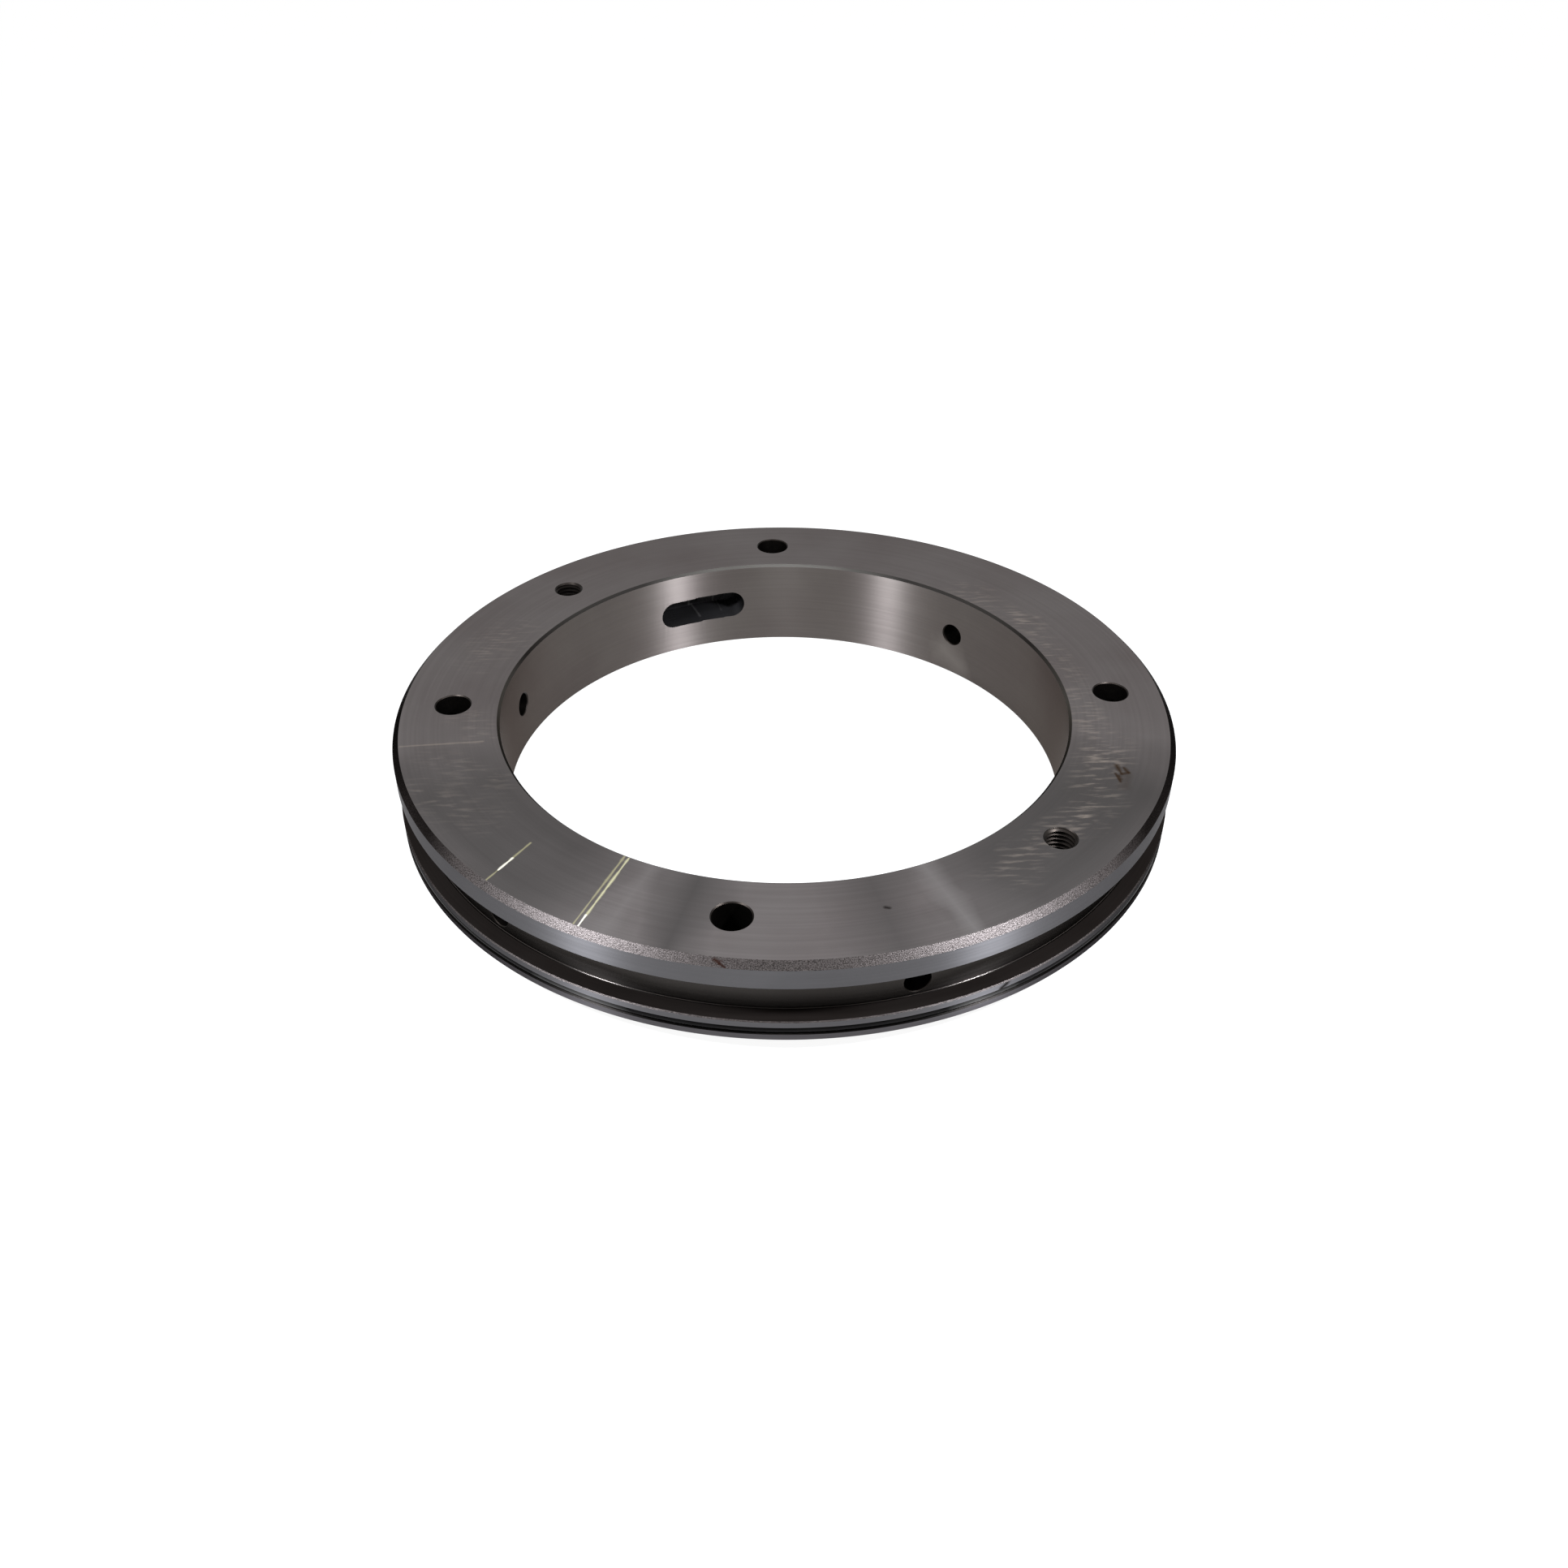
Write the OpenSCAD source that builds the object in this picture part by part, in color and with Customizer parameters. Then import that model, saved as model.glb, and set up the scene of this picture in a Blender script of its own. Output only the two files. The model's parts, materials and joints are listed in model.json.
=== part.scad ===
// Slewing ring bearing: an inner ring that turns on a caged ball row inside a low outer ring.
// Sizes in mm. Z is up, the bottom face is at Z = 0 and the turning axis is the Z axis.

/* [Envelope] */
// Diameter over the lands
od = 300; // [240:1:400]
// Width of the ring from the bore to the lands
ring_w = 40; // [38:0.5:46]
// Overall height
height = 38; // [34:1:48]

/* [Inner ring] */
// Thickness of the top flange
flange_t = 10.5; // [8:0.5:11]
// Depth of the wide groove under the flange
groove_depth = 6.5; // [5:0.5:7]
// Chamfer on the top outer edge
top_chamfer = 2.4; // [1:0.1:3]
// Chamfer on the bore's top edge
bore_chamfer = 1; // [0.5:0.1:1.5]
// Break on the bore's lower edge
foot_break = 0.2; // [0.1:0.1:0.5]
// Small break on the turned edges
edge_break = 0.4; // [0.3:0.1:0.6]
// Wall of the sleeve that carries the inner race
sleeve_t = 6.1; // [5.8:0.1:6.2]
// Height of the sleeve's end above the bottom face
sleeve_lift = 0.2; // [0.1:0.1:0.5]

/* [Hole circle] */
// How far the hole circle lies inside the middle of the ring
hole_in = 1.5; // [0.5:0.1:1.8]
// Diameter of the plain access holes
access_d = 13.5; // [12:0.5:14]
// Angles of the plain access holes
access_angles = [0, 90, 180, 260];
// Core diameter of the two tapped holes
tap_core_d = 10.1; // [8.5:0.1:10.3]
// Mouth diameter of the tapped holes' countersink
tap_mouth_d = 12.8; // [12.2:0.1:13.5]
// Angles of the tapped holes
tap_angles = [135, 315];
// Chamfer on the mouths of the plain holes
hole_break = 0.4; // [0.2:0.1:0.8]

/* [Ports and slot] */
// Diameter of the radial ports
port_d = 9.3; // [7:0.1:9.4]
// Angles of the ports around the ring, the slot takes the sixth place
port_angles = [45, 165, 225, 285, 345];
// Height of the slot milled in the bore
slot_h = 12.3; // [9:0.1:12.5]
// Depth of the slot from the bore wall
slot_depth = 16; // [6:0.5:18]
// Height of the slot's centre line above the port axes
slot_rise = 0; // [-0.5:0.1:1]
// How much lower the slot is between its rounded ends, at top and bottom
slot_waist = 0.2; // [0.1:0.05:0.4]
// Cuts of the slot: angle, start and end across that angle, and drop
slot_cuts = [[111, -5.2, 6.4, 0.5], [105.4, -5.2, 5.2, 0.1], [100.4, -0.1, 4.6, -0.15]];

/* [Outer ring] */
// Height of the outer ring at its rim
outer_h = 13.2; // [12.9:0.1:13.5]
// Depth of the recess that the inner ring's step runs in
recess_depth = 1.8; // [1.2:0.1:1.9]
// How far the inner ring's step lies inside the drum wall
step_in = 3.5; // [3:0.1:4]
// Size of the lead-in chamfer at the bottom of the rim
lead_in = 5.3; // [4:0.1:6]
// Radius of the relief turned at the foot of the wide groove
relief_r = 0.4; // [0.3:0.1:0.8]
// Depth of the small groove's centre line below the rim's top
band_drop = 4.12; // [3.9:0.02:4.3]
// Number of fixing holes
fix_count = 4; // [3:1:6]
// Diameter of the fixing holes
fix_d = 9; // [6:0.5:9]
// Diameter of their counterbores
fix_head_d = 14; // [11:0.5:14]
// Depth of their counterbores
fix_head_h = 8.2; // [6:0.2:8.4]

/* [Ball row] */
// Diameter of the balls
ball_d = 6; // [5:0.1:6.1]
// Number of balls
ball_count = 36; // [36:1:36]
// Gap between the two rings beside the balls
race_gap = 1.8; // [1.7:0.1:1.9]
// Height of the cage above and below its pockets
cage_web = 0.65; // [0.5:0.05:0.7]
// Angle of the filling plug
plug_angle = 270; // [265:1:275]
// Diameter of the pin that locks the plug
pin_d = 2; // [1.5:0.1:2.2]

/* [Seals] */
// Thickness of the round ring in the small groove
cord_d = 2.8; // [2.6:0.1:2.9]
// How far the round ring sits under the lands
cord_sink = 0.2; // [0:0.1:0.5]
// How far the upper seal lies inside the step
seal_in = 1.4; // [1.2:0.1:1.6]
// Width of the upper seal
seal_w = 2; // [1.6:0.1:2.2]
// Depth of the upper seal's groove
seal_sink = 1.6; // [1.2:0.1:2]
// Height of the lower seal
low_seal_h = 1.2; // [0.8:0.1:1.2]
// Height of the lower seal above the bottom face
low_seal_z = 0.6; // [0.5:0.1:0.8]
// Depth of the lower seal's groove
low_seal_sink = 1.5; // [1:0.1:1.8]

/* [Fits] */
// Running gap between the rings
ring_gap = 0.3; // [0.3:0.05:0.4]
// Running clearance of the balls in the races
race_clear = 0.1; // [0.05:0.01:0.1]
// Clearance of the balls in the cage pockets
pocket_clear = 0.15; // [0.1:0.01:0.2]
// Clearance of the cage between the two rings
cage_clear = 0.3; // [0.3:0.05:0.4]
// Clearance of the balls in the filling hole
fill_clear = 0.2; // [0.1:0.05:0.3]
// Gap between the lower seal and the cage
cage_gap = 0.4; // [0.3:0.05:0.5]
// Clearance of the round ring above and below it
cord_clear = 0.15; // [0.1:0.05:0.2]
// Running clearance of the seal lips
lip_clear = 0.1; // [0.05:0.01:0.1]
// Clearance of the plug and its pin
plug_clear = 0.02; // [0.01:0.01:0.03]

/* [Hidden] */
$fn = 96;
over = 1;
od_r = od / 2;
bore_r = od_r - ring_w;
drum_r = od_r - groove_depth;
sleeve_r = bore_r + sleeve_t;
outer_bore_r = sleeve_r + race_gap;
pitch_r = sleeve_r + race_gap / 2;
race_r = ball_d / 2 + race_clear;
recess_z = outer_h - recess_depth;
step_r = drum_r - step_in;
recess_r = step_r + ring_gap;
drum_z = outer_h + ring_gap;
step_z = recess_z + ring_gap;
flange_z = height - flange_t;
hole_r = (od_r + bore_r) / 2 - hole_in;
port_z = height / 2;
slot_z = port_z + slot_rise;
band_h = cord_d + 2 * cord_clear;
band_z = outer_h - band_drop;
cord_r = od_r - cord_sink - cord_d / 2;
band_r = cord_r - cord_d / 2;
relief_c = drum_r + relief_r;
low_groove_r = outer_bore_r + low_seal_sink;
seal_r = step_r - seal_in - seal_w;
seal_z = recess_z - seal_sink;
pocket_d = ball_d + 2 * pocket_clear;
cage_t = race_gap - 2 * cage_clear;
cage_h = pocket_d + 2 * cage_web;
ball_z = low_seal_z + low_seal_h + cage_gap + cage_h / 2;
plug_d = ball_d + 2 * fill_clear;
pin_r = bore_r + (sleeve_t - race_r + race_gap / 2) / 2;
pin_top = ball_z + plug_d / 2 + over;
ball_step = 360 / ball_count;
steel = [0.55, 0.54, 0.53];
bright = [0.75, 0.75, 0.76];
black = [0.08, 0.08, 0.09];
amber = [0.72, 0.55, 0.22];

BALLS = ["ball_01", "ball_02", "ball_03", "ball_04", "ball_05", "ball_06", "ball_07", "ball_08",
    "ball_09", "ball_10", "ball_11", "ball_12", "ball_13", "ball_14", "ball_15", "ball_16",
    "ball_17", "ball_18", "ball_19", "ball_20", "ball_21", "ball_22", "ball_23", "ball_24",
    "ball_25", "ball_26", "ball_27", "ball_28", "ball_29", "ball_30", "ball_31", "ball_32",
    "ball_33", "ball_34", "ball_35", "ball_36"];

// Ring of a rectangular section
module band(r0, r1, z0, z1) {
    rotate_extrude() polygon([[r0, z0], [r1, z0], [r1, z1], [r0, z1]]);
}

// Groove that both rings share for the balls
module race() {
    rotate_extrude() translate([pitch_r, ball_z]) circle(r = race_r);
}

// Round cut along a radius, from r0 to r1 at height z
module radial(angle, d, r0, r1, z) {
    rotate([0, 0, angle]) translate([r0, 0, z]) rotate([0, 90, 0]) cylinder(d = d, h = r1 - r0);
}

// Axial hole on the hole circle with a chamfered mouth on the top face
module axial_hole(angle, d, mouth_d, z0) {
    depth = (mouth_d - d) / 2;
    rotate([0, 0, angle]) translate([hole_r, 0, 0]) {
        translate([0, 0, z0 - over]) cylinder(d = d, h = height - z0 + 2 * over);
        translate([0, 0, height - depth])
            cylinder(d1 = d, d2 = mouth_d + 2 * over, h = depth + over);
    }
}

// Slot in the bore: three flat-bottomed cuts, each made square to its own angle
module slot() {
    length = slot_depth + bore_r / 10;
    flat_h = slot_h - 2 * slot_waist;
    for (cut = slot_cuts)
        rotate([0, 0, cut[0]]) translate([bore_r + slot_depth - length, 0, slot_z - cut[3]]) {
            for (y = [cut[1], cut[2]])
                translate([0, y, 0]) rotate([0, 90, 0]) cylinder(d = slot_h, h = length);
            translate([0, cut[1], -flat_h / 2]) cube([length, cut[2] - cut[1], flat_h]);
        }
}

// Turned section of the inner ring: flange, drum, step and race sleeve
module inner_blank() {
    rotate_extrude() polygon([
        [bore_r, sleeve_lift + foot_break], [bore_r + foot_break, sleeve_lift],
        [sleeve_r - edge_break, sleeve_lift], [sleeve_r, sleeve_lift + edge_break],
        [sleeve_r, step_z], [step_r, step_z], [step_r, drum_z], [drum_r, drum_z],
        [drum_r, flange_z], [od_r - edge_break, flange_z], [od_r, flange_z + edge_break],
        [od_r, height - top_chamfer], [od_r - top_chamfer, height],
        [bore_r + bore_chamfer, height], [bore_r, height - bore_chamfer]]);
}

// Turning ring with the holes, ports and slot
module inner_ring() {
    color(steel) difference() {
        inner_blank();
        race();
        for (a = access_angles) axial_hole(a, access_d, access_d + 2 * hole_break, step_z);
        for (a = tap_angles) axial_hole(a, tap_core_d, tap_mouth_d, step_z);
        for (a = port_angles) radial(a, port_d, bore_r - over * 3, od_r, port_z);
        slot();
        radial(plug_angle, plug_d, bore_r - over * 3, sleeve_r + over, ball_z);
        rotate([0, 0, plug_angle]) translate([pin_r, 0, 0]) cylinder(d = pin_d, h = pin_top);
    }
}

// Plug that closes the hole the balls go in by
module filling_plug() {
    color(bright) difference() {
        intersection() {
            radial(plug_angle, plug_d - 2 * plug_clear, bore_r - over * 3, sleeve_r + over, ball_z);
            band(bore_r, sleeve_r, 0, outer_h);
        }
        race();
        rotate([0, 0, plug_angle]) translate([pin_r, 0, 0]) cylinder(d = pin_d, h = pin_top);
    }
}

// Pin driven up through the sleeve's end to lock the plug
module plug_pin() {
    color(bright) rotate([0, 0, plug_angle]) translate([pin_r, 0, sleeve_lift + edge_break])
        cylinder(d = pin_d - 2 * plug_clear, h = pin_top - sleeve_lift - 2 * edge_break);
}

// Turned section of the outer ring with its recess, relief and lead-in chamfer
module outer_blank() {
    rotate_extrude() difference() {
        polygon([
            [outer_bore_r + edge_break, 0], [od_r - lead_in, 0], [od_r, lead_in],
            [od_r, outer_h - edge_break], [od_r - edge_break, outer_h],
            [recess_r, outer_h], [recess_r, recess_z],
            [outer_bore_r + edge_break, recess_z], [outer_bore_r, recess_z - edge_break],
            [outer_bore_r, edge_break]]);
        translate([relief_c, outer_h + relief_r / 2]) circle(r = relief_r);
        translate([band_r, band_z - band_h / 2]) square([od_r, band_h]);
        translate([seal_r, seal_z]) square([seal_w, seal_sink + over]);
        translate([0, low_seal_z]) square([low_groove_r, low_seal_h]);
    }
}

// Fixed ring that is screwed down through the inner ring's access holes
module outer_ring() {
    color(steel) difference() {
        outer_blank();
        race();
        for (i = [0 : fix_count - 1])
            rotate([0, 0, i * 360 / fix_count]) translate([hole_r, 0, 0]) {
                translate([0, 0, -over]) cylinder(d = fix_d, h = outer_h);
                translate([0, 0, recess_z - fix_head_h]) cylinder(d = fix_head_d, h = outer_h);
            }
    }
}

// Round rubber ring in the small groove
module o_ring() {
    color(black) rotate_extrude() translate([cord_r, band_z]) circle(d = cord_d);
}

// Face seal between the recess and the inner ring's step
module upper_seal() {
    color(black) band(seal_r, seal_r + seal_w, seal_z, step_z - lip_clear);
}

// Lip seal that closes the ball row at the bottom
module lower_seal() {
    color(black) band(sleeve_r + lip_clear, low_groove_r, low_seal_z, low_seal_z + low_seal_h);
}

// Cage that spaces the balls
module ball_cage() {
    color(amber) difference() {
        band(pitch_r - cage_t / 2, pitch_r + cage_t / 2, ball_z - cage_h / 2, ball_z + cage_h / 2);
        for (i = [0 : ball_count - 1])
            radial(i * ball_step, pocket_d, sleeve_r, outer_bore_r, ball_z);
    }
}

// One ball of the row
module ball(i) {
    color(bright) rotate([0, 0, i * ball_step]) translate([pitch_r, 0, ball_z]) sphere(d = ball_d);
}

inner_ring();
filling_plug();
plug_pin();
outer_ring();
o_ring();
upper_seal();
lower_seal();
ball_cage();
for (i = [0 : len(BALLS) - 1])
    ball(i);
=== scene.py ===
import json
import math

import bpy
from mathutils import Matrix, Vector


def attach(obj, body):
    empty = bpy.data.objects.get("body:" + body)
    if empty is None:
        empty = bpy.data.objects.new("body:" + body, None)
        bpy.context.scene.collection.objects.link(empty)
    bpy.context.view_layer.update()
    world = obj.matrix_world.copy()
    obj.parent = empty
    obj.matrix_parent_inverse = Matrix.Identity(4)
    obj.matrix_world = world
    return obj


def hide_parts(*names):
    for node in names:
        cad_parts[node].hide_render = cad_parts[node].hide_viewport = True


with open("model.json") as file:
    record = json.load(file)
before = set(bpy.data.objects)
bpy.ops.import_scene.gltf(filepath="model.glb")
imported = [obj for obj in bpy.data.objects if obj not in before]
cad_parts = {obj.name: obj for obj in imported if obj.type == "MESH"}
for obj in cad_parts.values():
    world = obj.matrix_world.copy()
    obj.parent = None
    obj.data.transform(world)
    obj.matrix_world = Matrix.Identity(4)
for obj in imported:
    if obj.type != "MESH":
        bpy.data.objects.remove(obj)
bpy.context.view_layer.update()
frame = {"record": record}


# Inner ring: the large turning ring, one steel forging turned to an L section with a top flange,
# a drum and a race sleeve. It is drilled, tapped and slotted, then ground on its bore, its top
# face and its lands; the chamfer keeps the speckled skin that it had before grinding.

MM = 0.001
MERGE = 1e-6  # metres within which the ends of a turned shape join
mount = {entry["name"]: entry for entry in frame["record"]["mounts"]}

# Sizes of the turned section in mm, from the axis and from the bottom face.
bore_r = mount["bore"]["dims"]["r_mm"]
top_z = mount["top_face"]["pos_m"][2] / MM
land_r = 150.0
flange_z = 27.5
drum_r = 143.5
drum_z = 13.5
step_r, step_z = 140.0, 11.7
sleeve_r, sleeve_z = 116.1, 0.2
top_chamfer, bore_chamfer, foot_break, edge_break = 2.4, 1.0, 0.2, 0.4
corner_fillet = 0.8
pitch_r, ball_z, race_r = 117.0, 6.0, 3.1
ring_steps, race_steps, fillet_steps = 320, 12, 6


def arc(centre_r, centre_z, radius, start, end, count):
    """Points of a round stretch of a section, from one angle in degrees to another."""
    turns = [math.radians(start + (end - start) * i / count) for i in range(count + 1)]
    return [(centre_r + radius * math.cos(t), centre_z + radius * math.sin(t)) for t in turns]


def turn(name, section, steps):
    """Turns a closed section of (radius, height) points in mm about the Z axis."""
    bpy.ops.object.select_all(action="DESELECT")
    bpy.ops.mesh.primitive_circle_add(vertices=len(section), fill_type="NOTHING")
    made = bpy.context.object
    made.name = made.data.name = name
    for corner, (radius, height) in zip(made.data.vertices, section):
        corner.co = (radius * MM, 0, height * MM)
    bpy.ops.object.mode_set(mode="EDIT")
    bpy.ops.mesh.select_all(action="SELECT")
    bpy.ops.mesh.spin(steps=steps, angle=math.tau, center=(0, 0, 0), axis=(0, 0, 1))
    bpy.ops.mesh.select_all(action="SELECT")
    bpy.ops.mesh.remove_doubles(threshold=MERGE)
    bpy.ops.mesh.normals_make_consistent(inside=False)
    bpy.ops.object.mode_set(mode="OBJECT")
    return made


race_half = math.degrees(math.acos((pitch_r - sleeve_r) / race_r))
inner_section = [
    (bore_r, sleeve_z + foot_break),
    (bore_r + foot_break, sleeve_z),
    (sleeve_r - edge_break, sleeve_z),
    (sleeve_r, sleeve_z + edge_break),
    *arc(pitch_r, ball_z, race_r, 180 + race_half, 180 - race_half, race_steps),
    (sleeve_r, step_z),
    (step_r, step_z),
    (step_r, drum_z),
    (drum_r, drum_z),
    *arc(drum_r + corner_fillet, flange_z - corner_fillet, corner_fillet, 180, 90, fillet_steps),
    (land_r - edge_break, flange_z),
    (land_r, flange_z + edge_break),
    (land_r, top_z - top_chamfer),
    (land_r - top_chamfer, top_z),
    (bore_r + bore_chamfer, top_z),
    (bore_r, top_z - bore_chamfer),
]
inner_ring = turn("inner_ring_piece", inner_section, ring_steps)


def colour(text):
    """Linear RGBA of an sRGB hex colour."""
    parts = [int(text[i : i + 2], 16) / 255 for i in (1, 3, 5)]
    return [c / 12.92 if c <= 0.04045 else ((c + 0.055) / 1.055) ** 2.4 for c in parts] + [1]


def add(tree, kind, inputs=None, **settings):
    """Adds a node with its settings; an input is a value or another node's output."""
    made = tree.nodes.new("ShaderNode" + kind)
    for key, value in settings.items():
        setattr(made, key, value)
    for key, value in (inputs or {}).items():
        if isinstance(value, bpy.types.NodeSocket):
            tree.links.new(value, made.inputs[key])
        else:
            made.inputs[key].default_value = value
    return made


def new_material(name):
    """An empty node tree with its output node."""
    made = bpy.data.materials.new(name)
    made.use_nodes = True
    made.node_tree.nodes.clear()
    return made, made.node_tree, add(made.node_tree, "OutputMaterial")


low, high = 0.35, 0.65  # most of a noise lies between these
ragged = 0.4  # share of a mark's width by which its sides wander
wave, wave_share = 4, 2  # mm across a wave of a thin mark's sides, and more for each mm of width


def stroke(tree, place, start, end, width):
    """Mask of a mark with ragged sides from one point to another, all in mm."""
    begin = Vector(start) * MM
    line = Vector(end) * MM - begin
    offset = add(tree, "VectorMath", {0: place, 1: begin}, operation="SUBTRACT").outputs["Vector"]
    along = add(
        tree, "VectorMath", {0: offset, 1: line / line.length_squared}, operation="DOT_PRODUCT"
    ).outputs["Value"]
    part = add(tree, "Clamp", {"Value": along}).outputs["Result"]
    foot = add(tree, "VectorMath", {0: line, "Scale": part}, operation="SCALE").outputs["Vector"]
    gap = add(tree, "VectorMath", {0: offset, 1: foot}, operation="DISTANCE").outputs["Value"]
    wander = wave + wave_share * width
    uneven = add(tree, "TexNoise", {"Vector": place, "Scale": 1 / (wander * MM), "Detail": 3.0})
    side = add(
        tree,
        "MapRange",
        {
            "Value": uneven.outputs["Fac"],
            "From Min": low,
            "From Max": high,
            "To Min": (1 - ragged) * width * MM,
            "To Max": (1 + ragged) * width * MM,
        },
    ).outputs["Result"]
    return add(
        tree,
        "MapRange",
        {"Value": gap, "From Min": 0.0, "From Max": side, "To Min": 1.0, "To Max": 0.0},
    ).outputs["Result"]


def tint(tree, shade, mask, strength, text):
    """The shade with another colour laid over it where the mask is."""
    amount = add(tree, "Math", {0: mask, 1: strength}, operation="MULTIPLY").outputs["Value"]
    return add(
        tree, "Mix", {"Factor": amount, "A": shade, "B": colour(text)}, data_type="RGBA"
    ).outputs["Result"]


coolant, streak_length, streak_width = "#b5a89c", 9.0, 1.7
streak_from, streak_full = 0.5, 0.68  # noise at which a streak begins and is whole


def dried(tree, place, region):
    """The part of a region's mask that dried coolant covers, in ragged streaks along X."""
    drawn = add(
        tree,
        "Mapping",
        {"Vector": place, "Scale": (1 / (streak_length * MM), 1 / (streak_width * MM), 1.0)},
    ).outputs["Vector"]
    runs = add(tree, "TexNoise", {"Vector": drawn, "Scale": 1.0, "Detail": 4.0}).outputs["Fac"]
    cover = add(
        tree, "MapRange", {"Value": runs, "From Min": streak_from, "From Max": streak_full}
    ).outputs["Result"]
    return add(tree, "Math", {0: region, 1: cover}, operation="MULTIPLY").outputs["Value"]


ring_spacing = 0.9  # mm between grinding rings, drawn coarser than real so that they show
ring_breaks = 1.5  # waves of tone along a ring, in each radian
ring_tone, ring_rough = 0.04, 0.01  # how far the rings differ in tone and in roughness
ring_low, ring_high = 0.3, 0.7  # most of the rings' noise lies between these
stain_size, stain_high = 45.0, 0.7  # mm across a soft brown stain, and its noise where darkest
across = 0.25  # turns from the lay to the way that lamps draw out


def ringed_steel(name, light, dark, roughness, spread, grazing, marks=()):
    """Steel with a lay of fine rings about the axis, from the lathe or the grinding wheel. Lamps
    draw out across the lay: into wedges on a flat face and into upright bands on a wall."""
    made, tree, output = new_material(name)
    place = add(tree, "TexCoord").outputs["Object"]
    axes = add(tree, "SeparateXYZ", {"Vector": place}).outputs
    flat = add(tree, "CombineXYZ", {"X": axes["X"], "Y": axes["Y"]}).outputs["Vector"]
    radius = add(tree, "VectorMath", {0: flat}, operation="LENGTH").outputs["Value"]
    angle = add(tree, "Math", {0: axes["Y"], 1: axes["X"]}, operation="ARCTAN2").outputs["Value"]
    polar = add(tree, "CombineXYZ", {"X": radius, "Y": axes["Z"], "Z": angle}).outputs["Vector"]
    fine = 1 / (ring_spacing * MM)
    rings = add(
        tree, "Mapping", {"Vector": polar, "Scale": (fine, fine, ring_breaks)}
    ).outputs["Vector"]
    lines = add(tree, "TexNoise", {"Vector": rings, "Scale": 1.0, "Detail": 3.0}).outputs["Fac"]
    soft = add(
        tree, "TexNoise", {"Vector": place, "Scale": 1 / (stain_size * MM), "Detail": 4.0}
    ).outputs["Fac"]
    tone = add(
        tree, "MapRange", {"Value": soft, "From Min": low, "From Max": stain_high}
    ).outputs["Result"]
    shade = add(
        tree, "Mix", {"Factor": tone, "A": colour(light), "B": colour(dark)}, data_type="RGBA"
    ).outputs["Result"]
    lined = add(
        tree,
        "MapRange",
        {
            "Value": lines,
            "From Min": ring_low,
            "From Max": ring_high,
            "To Min": 1 - ring_tone,
            "To Max": 1 + ring_tone,
        },
    ).outputs["Result"]
    shade = add(tree, "VectorMath", {0: shade, "Scale": lined}, operation="SCALE").outputs["Vector"]
    for start, end, width, strength, text in marks:
        mask = stroke(tree, place, start, end, width)
        if text == coolant:
            mask = dried(tree, place, mask)
        shade = tint(tree, shade, mask, strength, text)
    rough = add(
        tree,
        "MapRange",
        {
            "Value": lines,
            "From Min": ring_low,
            "From Max": ring_high,
            "To Min": roughness - ring_rough,
            "To Max": roughness + ring_rough,
        },
    ).outputs["Result"]
    lay = add(tree, "Tangent", direction_type="RADIAL", axis="Z").outputs["Tangent"]
    surface = add(
        tree,
        "BsdfPrincipled",
        {
            "Base Color": shade,
            "Roughness": rough,
            "Metallic": 1.0,
            "Specular Tint": colour(grazing),
            "Anisotropic": spread,
            "Anisotropic Rotation": across,
            "Tangent": lay,
        },
    )
    tree.links.new(surface.outputs["BSDF"], output.inputs["Surface"])
    return made


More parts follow.
